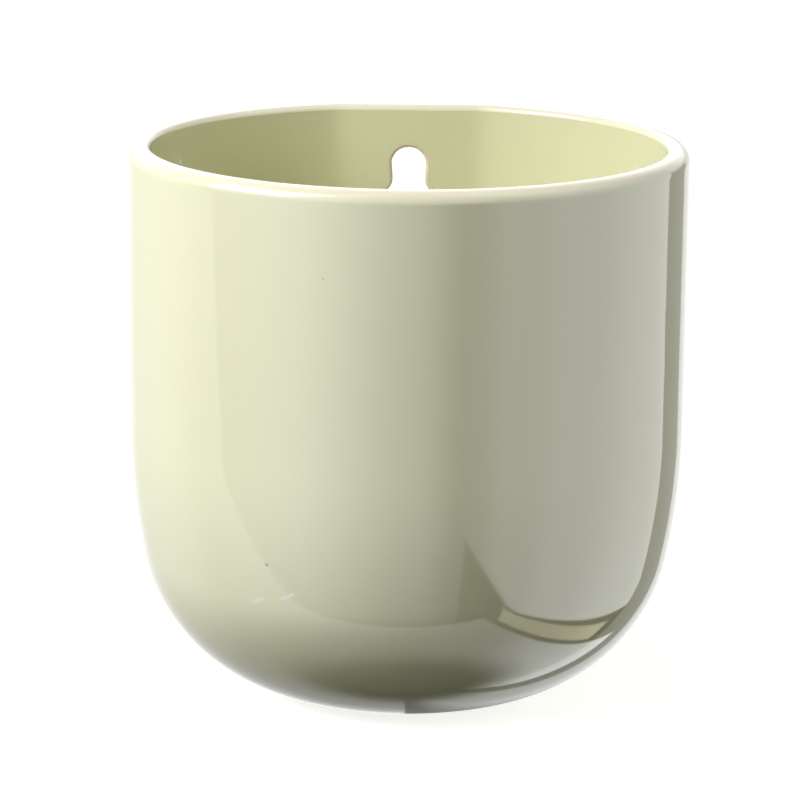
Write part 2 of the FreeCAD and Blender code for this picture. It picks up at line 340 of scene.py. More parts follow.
    def raise_skin(self, rings: list[Ring]) -> bpy.types.Object:
        """Draw the skin ring by ring, each extruded from the one before it and sized.

        Args:
            rings: the rings in order.

        Returns:
            The closed skin, still a plain oval behind.
        """
        deselect_all()
        first = rings[0]
        middle = (0, self.centre_y, first.height)
        bpy.ops.mesh.primitive_circle_add(
            vertices=self.columns, radius=first.half_width, location=middle
        )
        skin = bpy.context.object
        edit_all(skin, "EDGE")
        squeeze = (1, first.half_depth / first.half_width, 1)
        bpy.ops.transform.resize(value=squeeze, center_override=middle)
        bpy.ops.mesh.edge_face_add()
        for before, after in pairwise(rings):
            rise = (0, 0, after.height - before.height)
            grow = (after.half_width / before.half_width, after.half_depth / before.half_depth, 1)
            bpy.ops.mesh.extrude_edges_move(TRANSFORM_OT_translate={"value": rise})
            bpy.ops.transform.resize(value=grow, center_override=(0, self.centre_y, after.height))
        bpy.ops.mesh.edge_face_add()
        bpy.ops.object.mode_set(mode="OBJECT")
        settle(skin)
        return skin

    def flatten_back(self, skin: bpy.types.Object, rings: list[Ring]) -> None:
        """Press each ring's back onto its plane, with a soft turn where the oval meets the flat.

        Args:
            skin: the plain oval skin.
            rings: its rings, in the order they were drawn.
        """
        for number, vertex in enumerate(skin.data.vertices):
            ring = rings[number // self.columns]
            ease = self.corner_ease(self.back - ring.back)
            past = vertex.co.y - ring.back
            if past >= ease:
                vertex.co.y = ring.back
            elif past > -ease:
                vertex.co.y -= (past + ease) ** 2 / (4 * ease)
        skin.data.update()

    def keyhole_loop(self, spread: float) -> list[Vector]:
        """The keyhole's outline as a closed loop, as x and z, clockwise from the top.

        Args:
            spread: how far out from the keyhole's own outline the loop lies.

        Returns:
            As many points for every spread, in the same order.
        """
        soft = self.neck_round
        reach = self.neck_half_width + soft
        rise = math.sqrt((self.head_radius + soft) ** 2 - reach**2)
        soft_height = self.head_height + rise
        fan = math.degrees(math.atan2(rise, reach))
        drop = self.seat_height - soft_height
        lean = math.atan2(drop, reach) - math.acos((self.seat_radius + soft) / math.hypot(reach, drop))
        lean = math.degrees(lean)
        seat_radius, head_radius = self.seat_radius + spread, self.head_radius + spread
        seat = arc_points((0, self.seat_height), seat_radius, 90, -lean, self.seat_steps)
        neck = arc_points((reach, soft_height), soft - spread, 180 - lean, 180 + fan, self.neck_steps)
        head = arc_points((0, self.head_height), head_radius, fan, -90, self.head_steps)
        half = seat + neck + head[1:]
        return half + [Vector((-p.x, p.y)) for p in half[-2:0:-1]]

    def keyhole_stations(self) -> list[Pair]:
        """The cutter's levels, flared at both faces of the wall.

        Returns:
            Each level along y with the spread of the outline there.
        """
        soft = self.keyhole_edge_round
        face = self.back - self.wall
        steps = self.keyhole_edge_steps
        flare = []
        for step in range(steps + 1):
            angle = math.radians(90 * step / steps)
            flare.append((soft * (1 - math.sin(angle)), soft * (1 - math.cos(angle))))
        into = [(face + depth, spread) for depth, spread in flare[::-1]]
        out = [(self.back - depth, spread) for depth, spread in flare]
        return [(face - soft, soft)] + into + out + [(self.back + soft, soft)]

    def keyhole_cutter(self) -> bpy.types.Object:
        """Model what the keyhole takes out of the wall, extruded level by level along +Y.

        Returns:
            The cutter, its place in its mesh.
        """
        stations = self.keyhole_stations()
        level, spread = stations[0]
        loop = self.keyhole_loop(spread)
        deselect_all()
        bpy.ops.mesh.primitive_circle_add(vertices=len(loop), radius=self.head_radius)
        cutter = bpy.context.object
        cutter.name = "keyhole_cutter"
        for vertex, point in zip(cutter.data.vertices, loop):
            vertex.co = (point.x, level, point.y)
        edit_all(cutter, "EDGE")
        bpy.ops.mesh.edge_face_add()
        for next_level, next_spread in stations[1:]:
            rise = (0, next_level - level, 0)
            bpy.ops.mesh.extrude_edges_move(TRANSFORM_OT_translate={"value": rise})
            next_loop = self.keyhole_loop(next_spread)
            self.widen(cutter, loop, next_loop)
            level, loop = next_level, next_loop
        bpy.ops.mesh.edge_face_add()
        leave_edit()
        settle(cutter)
        return cutter

    def widen(self, cutter: bpy.types.Object, loop: list[Vector], wider: list[Vector]) -> None:
        """Move the selected ring of the cutter from one loop to the next.

        Args:
            cutter: the cutter, in edit mode, with its newest ring selected.
            loop: where the ring's points are, as x and z.
            wider: where they go, in the same order.
        """
        mesh = bmesh.from_edit_mesh(cutter.data)
        for vertex in mesh.verts:
            if vertex.select:
                flat = Vector((vertex.co.x, vertex.co.z))
                nearest = min(range(len(loop)), key=lambda number: (loop[number] - flat).length_squared)
                vertex.co.x, vertex.co.z = wider[nearest]
        bmesh.update_edit_mesh(cutter.data)

    def build(self) -> bpy.types.Object:
        """Model the whole pot.

        Returns:
            The finished pot, its place in its mesh.
        """
        rings = self.rings()
        skin = self.raise_skin(rings)
        self.flatten_back(skin, rings)
        edit_all(skin, "EDGE")
        bpy.ops.mesh.remove_doubles(threshold=MERGE_GAP)
        leave_edit()
        cutter = self.keyhole_cutter()
        apply_modifier(skin, "BOOLEAN", operation="DIFFERENCE", object=cutter, solver="EXACT")
        bpy.data.objects.remove(cutter)
        activate(skin)
        bpy.ops.object.shade_smooth_by_angle(angle=math.radians(self.crease_angle))
        apply_modifier(skin, "WEIGHTED_NORMAL", keep_sharp=True, weight=self.normal_weight)
        skin.name = "glazed_pot"
        return skin


# ---------------- the pads


@dataclass
class WallPad:
    """One soft stick-on bumper: a low dome with a rounded rim, flat where it sticks to the pot."""

    low: Vector
    high: Vector
    name: str
    edge_round: float = 0.8 * MM
    crown: float = 0.25 * MM
    columns: int = 72
    steps: int = 6
    crease_angle: float = 40.0

    def build(self) -> bpy.types.Object:
        """Model the pad from a disc on the pot's back, drawn out towards the wall and crowned.

        Returns:
            The finished pad, its place in its mesh.
        """
        middle = (self.low + self.high) / 2
        radius = (self.high.x - self.low.x) / 2
        thickness = self.high.y - self.low.y
        deselect_all()
        bpy.ops.mesh.primitive_circle_add(
            vertices=self.columns,
            radius=radius,
            fill_type="NGON",
            location=(middle.x, self.low.y, middle.z),
            rotation=(math.pi / 2, 0, 0),
        )
        pad = bpy.context.object
        pad.name = self.name
        settle(pad)
        edit_all(pad, "FACE")
        side = thickness - self.edge_round - self.crown
        bpy.ops.mesh.extrude_region_move(TRANSFORM_OT_translate={"value": (0, side, 0)})
        centre = (middle.x, middle.y, middle.z)
        before = radius
        steps = self.steps
        for step in range(1, steps + 1):
            turn = math.radians(90 * step / steps)
            last = math.radians(90 * (step - 1) / steps)
            rise = self.edge_round * (math.sin(turn) - math.sin(last))
            after = radius - self.edge_round * (1 - math.cos(turn))
            self.draw_out(rise, after / before, centre)
            before = after
        rest = before
        for step in range(1, steps):
            after = rest * (1 - step / steps)
            rise = self.crown * ((before / rest) ** 2 - (after / rest) ** 2)
            self.draw_out(rise, after / before, centre)
            before = after
        bpy.ops.mesh.select_all(action="DESELECT")
        bpy.ops.mesh.select_mode(type="EDGE")
        bpy.ops.mesh.select_non_manifold()
        bpy.ops.mesh.edge_face_add()
        leave_edit()
        bpy.ops.object.shade_smooth_by_angle(angle=math.radians(self.crease_angle))
        return pad

    def draw_out(self, rise: float, share: float, centre: Place) -> None:
        """Extrude the selected face along +Y and draw it in towards the pad's middle."""
        bpy.ops.mesh.extrude_region_move(TRANSFORM_OT_translate={"value": (0, rise, 0)})
        bpy.ops.transform.resize(value=(share, 1, share), center_override=centre)


# ---------------- node sheets


class Sheet:
    """The node tree of a material, a node group or the world, written node by node."""

    material: bpy.types.Material
    source: bpy.types.Node

    def __init__(self, tree: Tree, output: str) -> None:
        """Start a tree afresh.

        Args:
            tree: the tree, whose nodes are taken away.
            output: the type of its output node.
        """
        self.tree = tree
        self.tree.nodes.clear()
        self.output = self.tree.nodes.new(output)

    @classmethod
    def of_material(cls, name: str) -> "Sheet":
        """Start a new material's tree.

        Args:
            name: the material's name.

        Returns:
            The material's sheet.
        """
        material = bpy.data.materials.new(name)
        material.use_nodes = True
        sheet = cls(material.node_tree, "ShaderNodeOutputMaterial")
        sheet.material = material
        return sheet

    @classmethod
    def of_group(
        cls, name: str, places: tuple[str, ...], numbers: tuple[str, ...], made: str
    ) -> "Sheet":
        """Start a new node group.

        Args:
            name: the group's name.
            places: its inputs that are vectors.
            numbers: its inputs that are numbers.
            made: its output, a number.

        Returns:
            The group's sheet, whose source is its input node.
        """
        tree = bpy.data.node_groups.new(name, "ShaderNodeTree")
        sockets = [(place, "INPUT", "NodeSocketVector") for place in places]
        sockets += [(number, "INPUT", "NodeSocketFloat") for number in numbers]
        for label, side, kind in (*sockets, (made, "OUTPUT", "NodeSocketFloat")):
            tree.interface.new_socket(label, in_out=side, socket_type=kind)
        sheet = cls(tree, "NodeGroupOutput")
        sheet.source = tree.nodes.new("NodeGroupInput")
        return sheet

    def given(self, name: str) -> Output:
        """One of the group's own inputs."""
        return self.source.outputs[name]

    def feed(self, node: bpy.types.Node, socket: int | str, term: object) -> None:
        """Give an input its value, or join it to an output.

        Args:
            node: the node.
            socket: its input, by place or name.
            term: a value, an output, or a node whose first output is meant.
        """
        if isinstance(term, bpy.types.Node):
            term = term.outputs[0]
        if isinstance(term, bpy.types.NodeSocket):
            self.tree.links.new(term, node.inputs[socket])
        else:
            node.inputs[socket].default_value = term

    def add(self, kind: str, **terms: object) -> bpy.types.Node:
        """Add a node.

        Args:
            kind: the node's type.
            terms: what feeds its inputs, by name with _ for a space.

        Returns:
            The new node.
        """
        node = self.tree.nodes.new(kind)
        for name, term in terms.items():
            self.feed(node, name.replace("_", " "), term)
        return node

    def group(self, tree: Tree, **terms: object) -> bpy.types.Node:
        """Add a node group.

        Args:
            tree: the group.
            terms: what feeds its inputs, by name.

        Returns:
            The group's node.
        """
        node = self.tree.nodes.new("ShaderNodeGroup")
        node.node_tree = tree
        for name, term in terms.items():
            self.feed(node, name, term)
        return node

    def join(self, kind: str, operation: str | None, *terms: object) -> bpy.types.Node:
        """Add a node that works on terms in order.

        Args:
            kind: the node's type.
            operation: what it does, if its type can do several things.
            terms: what feeds its inputs.

        Returns:
            The new node.
        """
        node = self.tree.nodes.new(kind)
        if operation:
            node.operation = operation
        for socket, term in enumerate(terms):
            self.feed(node, socket, term)
        return node

    def math(self, operation: str, *terms: Term) -> Output:
        """Add a math node and give its output."""
        return self.join("ShaderNodeMath", operation, *terms).outputs[0]

    def vector(self, operation: str, *terms: Term) -> bpy.types.Node:
        """Add a vector math node."""
        return self.join("ShaderNodeVectorMath", operation, *terms)

    def limit(self, value: Term, low: float, high: float) -> Output:
        """A value kept between two numbers."""
        return self.math("MINIMUM", self.math("MAXIMUM", value, low), high)

    def share(self, cloud: Term) -> Output:
        """A value from -1 to 1 as a share from 0 to 1."""
        return self.math("MULTIPLY_ADD", cloud, 0.5, 0.5)

    def total(self, base: Term, *parts: tuple[Term, float]) -> Term:
        """A sum.

        Args:
            base: what it starts from.
            parts: what is added, each with its factor.

        Returns:
            The sum.
        """
        for term, factor in parts:
            base = self.math("MULTIPLY_ADD", term, factor, base)
        return base

    def over_all(self, operation: str, terms: list[Term]) -> Term:
        """Work from term to term, as in a sum, a product or the highest of them.

        Args:
            operation: what is done with the outcome so far and the next term.
            terms: the terms, at least one.

        Returns:
            The last outcome.
        """
        value = terms[0]
        for term in terms[1:]:
            value = self.math(operation, value, term)
        return value

    def product(self, *terms: Term) -> Term:
        """All the terms multiplied."""
        return self.over_all("MULTIPLY", list(terms))

    def blend(self, share: Output, first: Colour | Output, second: Colour | Output) -> Output:
        """Mix two colours by a share.

        Args:
            share: how much of the second colour there is.
            first: a colour, a node or an output.
            second: likewise.

        Returns:
            The mixed colour.
        """
        colours = [(*c, 1) if isinstance(c, tuple) else c for c in (first, second)]
        return self.join("ShaderNodeMixRGB", None, share, *colours).outputs[0]

    def step(self, value: Output, start: float, end: float) -> Output:
        """A smooth step.

        Args:
            value: what it reads.
            start: the value at which it is 0.
            end: the value at which it is 1, which may be the lower one.

        Returns:
            The step, from 0 to 1.
        """
        node = self.tree.nodes.new("ShaderNodeMapRange")
        node.interpolation_type = "SMOOTHSTEP"
        low, high = min(start, end), max(start, end)
        for socket, term in enumerate((value, low, high, float(start > end), float(start < end))):
            self.feed(node, socket, term)
        return node.outputs[0]

    def dress(self, colour: Output, gloss: Output, height: Output, **terms: object) -> None:
        """Add the material's shader.

        Args:
            colour: its base colour.
            gloss: its roughness.
            height: the fine relief of the surface, in metres.
            terms: what feeds its other inputs, by name with _ for a space.
        """
        bump = self.add("ShaderNodeBump", Strength=1.0, Distance=1.0, Height=height)
        terms = {"Base_Color": colour, "Roughness": gloss, "Normal": bump, **terms}
        self.feed(self.output, "Surface", self.add("ShaderNodeBsdfPrincipled", **terms))


# ---------------- finishes


def cloud_group() -> Tree:
    """Make the shared group of soft clouds, from -1 to 1 about their middle.

    Returns:
        The group.
    """
    detail, roughness, gain = 3.0, 0.5, 4.0
    sheet = Sheet.of_group("soft_clouds", ("Vector",), ("Scale",), "Value")
    place, scale = sheet.given("Vector"), sheet.given("Scale")
    noise = sheet.add("ShaderNodeTexNoise", Vector=place, Scale=scale, Detail=detail, Roughness=roughness)
    value = sheet.math("MULTIPLY_ADD", noise.outputs["Fac"], gain, -gain / 2)
    sheet.feed(sheet.output, 0, sheet.limit(value, -1.0, 1.0))
    return sheet.tree


def speck_group() -> Tree:
    """Make the shared group of sparse round specks, a mask from 0 to 1.

    Returns:
        The group.
    """
    core = 0.4
    sheet = Sheet.of_group("sparse_specks", ("Vector",), ("Spacing", "Radius", "Share"), "Mask")
    density = sheet.math("DIVIDE", 1.0, sheet.given("Spacing"))
    cells = sheet.add("ShaderNodeTexVoronoi", Vector=sheet.given("Vector"), Scale=density)
    away = sheet.math("MULTIPLY", cells.outputs["Distance"], sheet.given("Spacing"))
    inside = sheet.math("DIVIDE", away, sheet.given("Radius"))
    pick = sheet.add("ShaderNodeSeparateColor", Color=cells.outputs["Color"])
    chosen = sheet.math("LESS_THAN", pick, sheet.given("Share"))
    sheet.feed(sheet.output, 0, sheet.product(sheet.step(inside, 1.0, core), chosen))
    return sheet.tree


def stroke_group() -> Tree:
    """Make the shared group of one thin straight mark, a mask from 0 to 1.

    Returns:
        The group.
    """
    core = 0.3
    sheet = Sheet.of_group("stroke", ("Vector", "Start", "End"), ("Width",), "Mask")
    reach = sheet.vector("SUBTRACT", sheet.given("End"), sheet.given("Start"))
    gone = sheet.vector("SUBTRACT", sheet.given("Vector"), sheet.given("Start"))
    across = sheet.vector("DOT_PRODUCT", gone, reach).outputs["Value"]
    whole = sheet.vector("DOT_PRODUCT", reach, reach).outputs["Value"]
    foot = sheet.vector("SCALE", reach)
    sheet.feed(foot, "Scale", sheet.limit(sheet.math("DIVIDE", across, whole), 0.0, 1.0))
    gap = sheet.vector("LENGTH", sheet.vector("SUBTRACT", gone, foot)).outputs["Value"]
    gap = sheet.math("DIVIDE", gap, sheet.given("Width"))
    sheet.feed(sheet.output, 0, sheet.step(gap, 1.0, core))
    return sheet.tree


@dataclass(frozen=True)
class Specks:
    """One kind of small round specks: how far apart they may lie, how large, many and strong they are."""

    spacing: float
    radius: float
    share: float
    strength: float

    def mask(self, sheet: Sheet, group: Tree, place: Output) -> Output:
        """The specks as a mask in a material's tree, by the speck group."""
        sizes = {"Spacing": self.spacing, "Radius": self.radius, "Share": self.share}
        return sheet.product(sheet.group(group, Vector=place, **sizes), self.strength)


@dataclass(frozen=True)
class Mark:
    """One small mark in the glaze: where it starts and ends, its half width and how strong it is."""

    start: Place
    end: Place
    half_width: float
    strength: float

    def mask(self, sheet: Sheet, group: Tree, place: Output) -> Output:
        """The mark as a mask in a material's tree, by the stroke group."""
        sizes = {"Start": self.start, "End": self.end, "Width": self.half_width}
        return sheet.product(sheet.group(group, Vector=place, **sizes), self.strength)


@dataclass(frozen=True)
class Glaze:
    """Glossy pale cream-green glaze over a buff body, thin on the rim and round the keyhole."""

    pot: PotCasting
    colour: Colour = (0.80, 0.80, 0.53)
    low_colour: Colour = (0.74, 0.76, 0.47)
    break_colour: Colour = (0.84, 0.70, 0.58)
    body_colour: Colour = (0.66, 0.54, 0.41)
    grain_colour: Colour = (0.74, 0.63, 0.50)
    speck_colour: Colour = (0.30, 0.27, 0.19)
    scuff_colour: Colour = (0.93, 0.95, 0.86)
    index: float = 1.6
    wander_scale: float = 70.0
    drift_scale: float = 16.0
    grain_scale: float = 900.0
    low_levels: Pair = (60 * MM, 8 * MM)
    low_share: float = 0.35
    tone_drift: float = 0.10
    tone_base: float = 0.10
    crest_wander: float = 0.5 * MM
    crest_drops: Pair = (3.4 * MM, 0.2 * MM)
    crest_ragged: float = 0.35
    crest_share: float = 0.62
    halo_wander: float = 0.4 * MM
    halo_gaps: Pair = (2.6 * MM, 0.2 * MM)
    halo_depths: Pair = (50 * MM, 58 * MM)
    halo_share: float = 0.75
    bare_wander: float = 0.12 * MM
    bare_levels: Pair = (1.15 * MM, 0.85 * MM)
    roughness: float = 0.055
    drift_roughness: float = 0.012
    thin_roughness: float = 0.08
    scuff_roughness: float = 0.2
    bare_roughness: float = 0.7
    drift_height: float = 0.05 * MM
    wander_height: float = 0.0022 * MM
    pit_depth: float = 0.12 * MM
    grain_height: float = 0.03 * MM
    specks: tuple[Specks, ...] = (
        Specks(17 * MM, 0.32 * MM, 0.16, 0.45),
        Specks(9 * MM, 0.16 * MM, 0.3, 0.35),
    )
    pits: tuple[Mark, ...] = ()
    scuffs: tuple[Mark, ...] = ()

    def keyhole_gap(self, sheet: Sheet, across: Output, up: Output) -> Output:
        """How far a place on the back wall lies outside the keyhole.

        Args:
            sheet: the material's tree.
            across: the place's x.
            up: the place's z.

        Returns:
            The distance, which is negative inside the keyhole.
        """
        pot = self.pot
        gaps = []
        for level, radius in ((pot.seat_height, pot.seat_radius), (pot.head_height, pot.head_radius)):
            rise = sheet.math("SUBTRACT", up, level)
            square = sheet.math("MULTIPLY_ADD", rise, rise, sheet.math("MULTIPLY", across, across))
            gaps.append(sheet.math("SUBTRACT", sheet.math("SQRT", square), radius))
        side = sheet.math("SUBTRACT", sheet.math("ABSOLUTE", across), pot.neck_half_width)
        side = sheet.math("MAXIMUM", side, sheet.math("SUBTRACT", up, pot.seat_height))
        side = sheet.math("MAXIMUM", side, sheet.math("SUBTRACT", pot.head_height, up))
        return sheet.over_all("MINIMUM", [*gaps, side])

    def thinness(
        self, sheet: Sheet, wander: Output, across: Output, along: Output, up: Output
    ) -> Output:
        """How thin the glaze is: on the rim's crest and round the keyhole, where the body shows through.

        Args:
            sheet: the material's tree.
            wander: the clouds that make its edges ragged.
            across: the place's x.
            along: the place's y.
            up: the place's z.

        Returns:
            The share of the body that shows.
        """
        crest_start, crest_end = (self.pot.height - drop for drop in self.crest_drops)
        crest = sheet.step(sheet.total(up, (wander, self.crest_wander)), crest_start, crest_end)
        ragged = sheet.total(1 - self.crest_ragged, (wander, self.crest_ragged))
        gap = sheet.total(self.keyhole_gap(sheet, across, up), (wander, self.halo_wander))
        halo = sheet.product(sheet.step(gap, *self.halo_gaps), sheet.step(along, *self.halo_depths))
        crest = sheet.product(crest, ragged, self.crest_share)
        return sheet.math("MAXIMUM", crest, sheet.product(halo, self.halo_share))

    def build(self, clouds: Tree, specks: Tree, stroke: Tree) -> bpy.types.Material:
        """Make the material.

        Args:
            clouds: the group of soft clouds.
            specks: the group of sparse specks.
            stroke: the group of one thin mark.

        Returns:
            The material.
        """
        sheet = Sheet.of_material("pale_green_glaze")
        place = sheet.add("ShaderNodeTexCoord").outputs["Object"]
        across, along, up = sheet.add("ShaderNodeSeparateXYZ", Vector=place).outputs
        wander = sheet.group(clouds, Vector=place, Scale=self.wander_scale)
        drift = sheet.group(clouds, Vector=place, Scale=self.drift_scale)
        grain = sheet.group(clouds, Vector=place, Scale=self.grain_scale)

        # the glaze is darker and yellower low on the wall and on the floor inside
        low_down = sheet.step(up, *self.low_levels)
        tone = sheet.total(self.tone_base, (low_down, self.low_share), (drift, self.tone_drift))
        colour = sheet.blend(tone, self.colour, self.low_colour)
        thin = self.thinness(sheet, wander, across, along, up)
        colour = sheet.blend(thin, colour, self.break_colour)

        # small dark pits and pale scuffs
        pits = [kind.mask(sheet, specks, place) for kind in self.specks]
        pits += [mark.mask(sheet, stroke, place) for mark in self.pits]
        pits = sheet.over_all("MAXIMUM", pits)
        colour = sheet.blend(pits, colour, self.speck_colour)
        scuffs = [mark.mask(sheet, stroke, place) for mark in self.scuffs]
        scuffs = sheet.over_all("MAXIMUM", scuffs)
        colour = sheet.blend(scuffs, colour, self.scuff_colour)

        # the foot ring is wiped bare, down to the buff body
        bare = sheet.step(sheet.total(up, (wander, self.bare_wander)), *self.bare_levels)
        clay = sheet.blend(sheet.share(grain), self.body_colour, self.grain_colour)
        colour = sheet.blend(bare, colour, clay)

        gloss = sheet.total(
            self.roughness,
            (drift, self.drift_roughness),
            (thin, self.thin_roughness),
            (scuffs, self.scuff_roughness),
            (bare, self.bare_roughness),
        )
        # faint waves in the glaze, pits that dent it, and grain on the bare clay
        height = sheet.total(
            sheet.product(drift, self.drift_height),
            (wander, self.wander_height),
            (pits, -self.pit_depth),
            (sheet.product(grain, bare), self.grain_height),
        )
        sheet.dress(colour, gloss, height, IOR=self.index)
        return sheet.material


@dataclass(frozen=True)
class SoftPlastic:
    """The milky plastic of the stick-on pads, which light spreads in a little."""

    colour: Colour = (0.82, 0.82, 0.80)
    cloudy_colour: Colour = (0.73, 0.74, 0.73)
    dust_colour: Colour = (0.52, 0.50, 0.46)
    dust: Specks = Specks(1.2 * MM, 0.09 * MM, 0.4, 0.6)
    cloud_scale: float = 260.0
    cloud_height: float = 0.02 * MM
    roughness: float = 0.34
    cloud_roughness: float = 0.08
    index: float = 1.45
    spread_share: float = 0.4
    spread_reach: float = 1 * MM

    def build(self, clouds: Tree, specks: Tree) -> bpy.types.Material:
        """Make the material.

        Args:
            clouds: the group of soft clouds.
            specks: the group of sparse specks.

        Returns:
            The material.
        """
        sheet = Sheet.of_material("milky_plastic")
        place = sheet.add("ShaderNodeTexCoord").outputs["Object"]
        cloud = sheet.group(clouds, Vector=place, Scale=self.cloud_scale)
        colour = sheet.blend(sheet.share(cloud), self.colour, self.cloudy_colour)
        colour = sheet.blend(self.dust.mask(sheet, specks, place), colour, self.dust_colour)
        gloss = sheet.total(self.roughness, (cloud, self.cloud_roughness))
        height = sheet.product(cloud, self.cloud_height)
        inside = {"Subsurface_Weight": self.spread_share, "Subsurface_Scale": self.spread_reach}
        sheet.dress(colour, gloss, height, IOR=self.index, **inside)
        return sheet.material


# ---------------- the studio


@dataclass(frozen=True)
class Edge:
    """The straight far edge of something level that the glaze mirrors, such as a panel's foot.

    It lies square to an azimuth, and is seen down a slope of so much fall per length.
    """

    facing: float
    slope: float


class Outlook:
    """The direction in which a ray leaves for the surroundings, and masks of what lies there.

    Angles are in degrees. An azimuth is 0 towards the camera's side and grows towards +X.
    """

    def __init__(self, sheet: Sheet, upright_soft: float, level_soft: float) -> None:
        """Read the ray's direction.

        Args:
            sheet: the world's tree.
            upright_soft: half the width in which an upright edge turns, in degrees.
            level_soft: the same of a level edge, as a part of the ray's length.
        """
        self.sheet = sheet
        self.upright_soft = upright_soft
        self.level_soft = level_soft
        ray = sheet.add("ShaderNodeTexCoord").outputs["Generated"]
        self.across, along, self.up = sheet.add("ShaderNodeSeparateXYZ", Vector=ray).outputs
        self.ahead = sheet.product(along, -1.0)
        around = sheet.math("ARCTAN2", self.across, self.ahead)
        self.azimuth = sheet.product(around, math.degrees(1))
        self.elevation = sheet.product(sheet.math("ARCSINE", self.up), math.degrees(1))

    def profile(self, stops: Stops) -> Term:
        """A brightness that goes smoothly from stop to stop along the azimuth.

        Args:
            stops: azimuths in order, each with its brightness.

        Returns:
            The brightness.
        """
        value = stops[0][1]
        for (start, before), (end, after) in pairwise(stops):
            value = self.sheet.total(value, (self.sheet.step(self.azimuth, start, end), after - before))
        return value

    def above(self, edge: Edge) -> Output:
        """A mask of what is above a level edge.

        Args:
            edge: the edge.

        Returns:
            1 above the edge and 0 below it.
        """
        turn = math.radians(edge.facing)
        reach = self.sheet.product(self.across, math.sin(turn))
        reach = self.sheet.total(reach, (self.ahead, math.cos(turn)))
        over = self.sheet.total(self.up, (reach, edge.slope))
        return self.sheet.step(over, -self.level_soft, self.level_soft)

    def below(self, edge: Edge) -> Output:
        """1 below a level edge and 0 above it."""
        return self.sheet.math("SUBTRACT", 1.0, self.above(edge))

    def between(self, start: float, end: float) -> Output:
        """A mask of what is between two azimuths.

        Args:
            start: the lower azimuth.
            end: the higher one.

        Returns:
            1 between them and 0 elsewhere.
        """
        soft = self.upright_soft
        after = self.sheet.step(self.azimuth, start - soft, start + soft)
        return self.sheet.product(after, self.sheet.step(self.azimuth, end + soft, end - soft))


@dataclass(frozen=True)
class Surroundings:
    """What stands round the studio: white for the camera, a low fill, and what the glaze mirrors.

    A brightness of 1 is white. Profiles are azimuths in degrees, each with its brightness.
    """

    fill: float = 0.20
    white: float = 1.0
    around: Pair = (-181.0, 181.0)
    glow: Stops = ((-180, 0.4), (-150, 0.4), (-90, 1.7), (-40, 3.5), (2, 2.0), (20, 0.9))
    glow_fade: Pair = (-60.0, -18.0)
    panel: Stops = ((21.5, 1.1), (40, 2.6), (62, 3.5), (90, 3.6), (126, 2.6))
    panel_foot: Edge = Edge(82.0, 0.92)
    slat_top: Edge = Edge(85.0, 1.0)
    slat_foot: Edge = Edge(86.0, 1.24)
    slat: float = 2.4
    slat_ends: Pair = (41.0, 119.0)
    slat_colour: Colour = (1.0, 0.92, 0.62)
    ground_side: Edge = Edge(85.0, 1.33)
    ground_front: Edge = Edge(0.0, 1.0)
    ground: Stops = ((-90, 0.9), (0, 0.9), (34, 1.2), (90, 2.6))
    ground_fade: Pair = (-76.0, -58.0)
    ground_end: float = 139.0
    strip: Pair = (126.0, 150.0)
    shade: float = 0.6
    canopy: float = 2.4
    canopy_edge: Pair = (-4.0, 14.0)
    backdrop: Stops = ((150, 1.5), (168, 1.3), (180, 0.3))
    upright_soft: float = 0.6
    level_soft: float = 0.012

    def build(self) -> None:
        """Make the world."""
        world = bpy.data.worlds.new("surroundings")
        bpy.context.scene.world = world
        world.use_nodes = True
        sheet = Sheet(world.node_tree, "ShaderNodeOutputWorld")
        outlook = Outlook(sheet, self.upright_soft, self.level_soft)
        profile, between = outlook.profile, outlook.between
        above, below = outlook.above, outlook.below

        first, last = self.around
        fade = sheet.step(outlook.elevation, *self.glow_fade)
        slat = sheet.product(between(*self.slat_ends), below(self.slat_top), above(self.slat_foot))
        ground = sheet.product(profile(self.ground), below(self.ground_front), below(self.ground_side))
        panel = sheet.product(profile(self.panel), between(self.panel[0][0], self.strip[0]))
        mirrored = [
            sheet.product(profile(self.glow), fade, between(first, self.panel[0][0])),
            sheet.product(ground, between(first, self.ground_end)),
            sheet.product(panel, above(self.panel_foot)),
            sheet.product(slat, self.slat),
            sheet.product(between(*self.strip), self.shade),
            sheet.product(profile(self.backdrop), between(self.strip[1], last)),
        ]
        mirrored = sheet.over_all("ADD", mirrored)
        mirrored = sheet.product(mirrored, sheet.step(outlook.elevation, *self.ground_fade))
        canopy = sheet.product(self.canopy, sheet.step(outlook.elevation, *self.canopy_edge))
        mirrored = sheet.math("MAXIMUM", mirrored, canopy)

        # the camera sees white, mirroring rays see the surroundings, and all others the low fill
        path = sheet.add("ShaderNodeLightPath")
        mirroring = path.outputs["Is Glossy Ray"]
        plain = sheet.total(self.fill, (path.outputs["Is Camera Ray"], self.white - self.fill))
        strength = sheet.add("ShaderNodeMix", Factor=mirroring, A=plain, B=mirrored)
        tint = sheet.blend(sheet.product(slat, mirroring), (1, 1, 1), self.slat_colour)
        background = sheet.add("ShaderNodeBackground", Color=tint, Strength=strength)
        sheet.feed(sheet.output, "Surface", background)


@dataclass(frozen=True)
class Lamp:
    """One rectangular lamp: its middle, its width and height, and how bright its face is.

    A white surface in full light has a brightness of 1. A lamp that isn't mirrored leaves no highlight.
    """

    name: str
    place: Place
    size: Pair
    radiance: float
    mirrored: bool = True

    def add(self, aim: Place) -> None:
        """Hang the lamp up.

        Args:
            aim: the point it faces.
        """
        data = bpy.data.lights.new(self.name, "AREA")
        data.shape = "RECTANGLE"
        data.size, data.size_y = self.size
        data.energy = self.radiance * math.pi * self.size[0] * self.size[1]
        lamp = bpy.data.objects.new(self.name, data)
        bpy.context.scene.collection.objects.link(lamp)
        lamp.location = self.place
        facing = Vector(aim) - Vector(self.place)
        lamp.rotation_euler = facing.to_track_quat("-Z", "Y").to_euler()
        lamp.visible_camera = False
        lamp.visible_glossy = self.mirrored


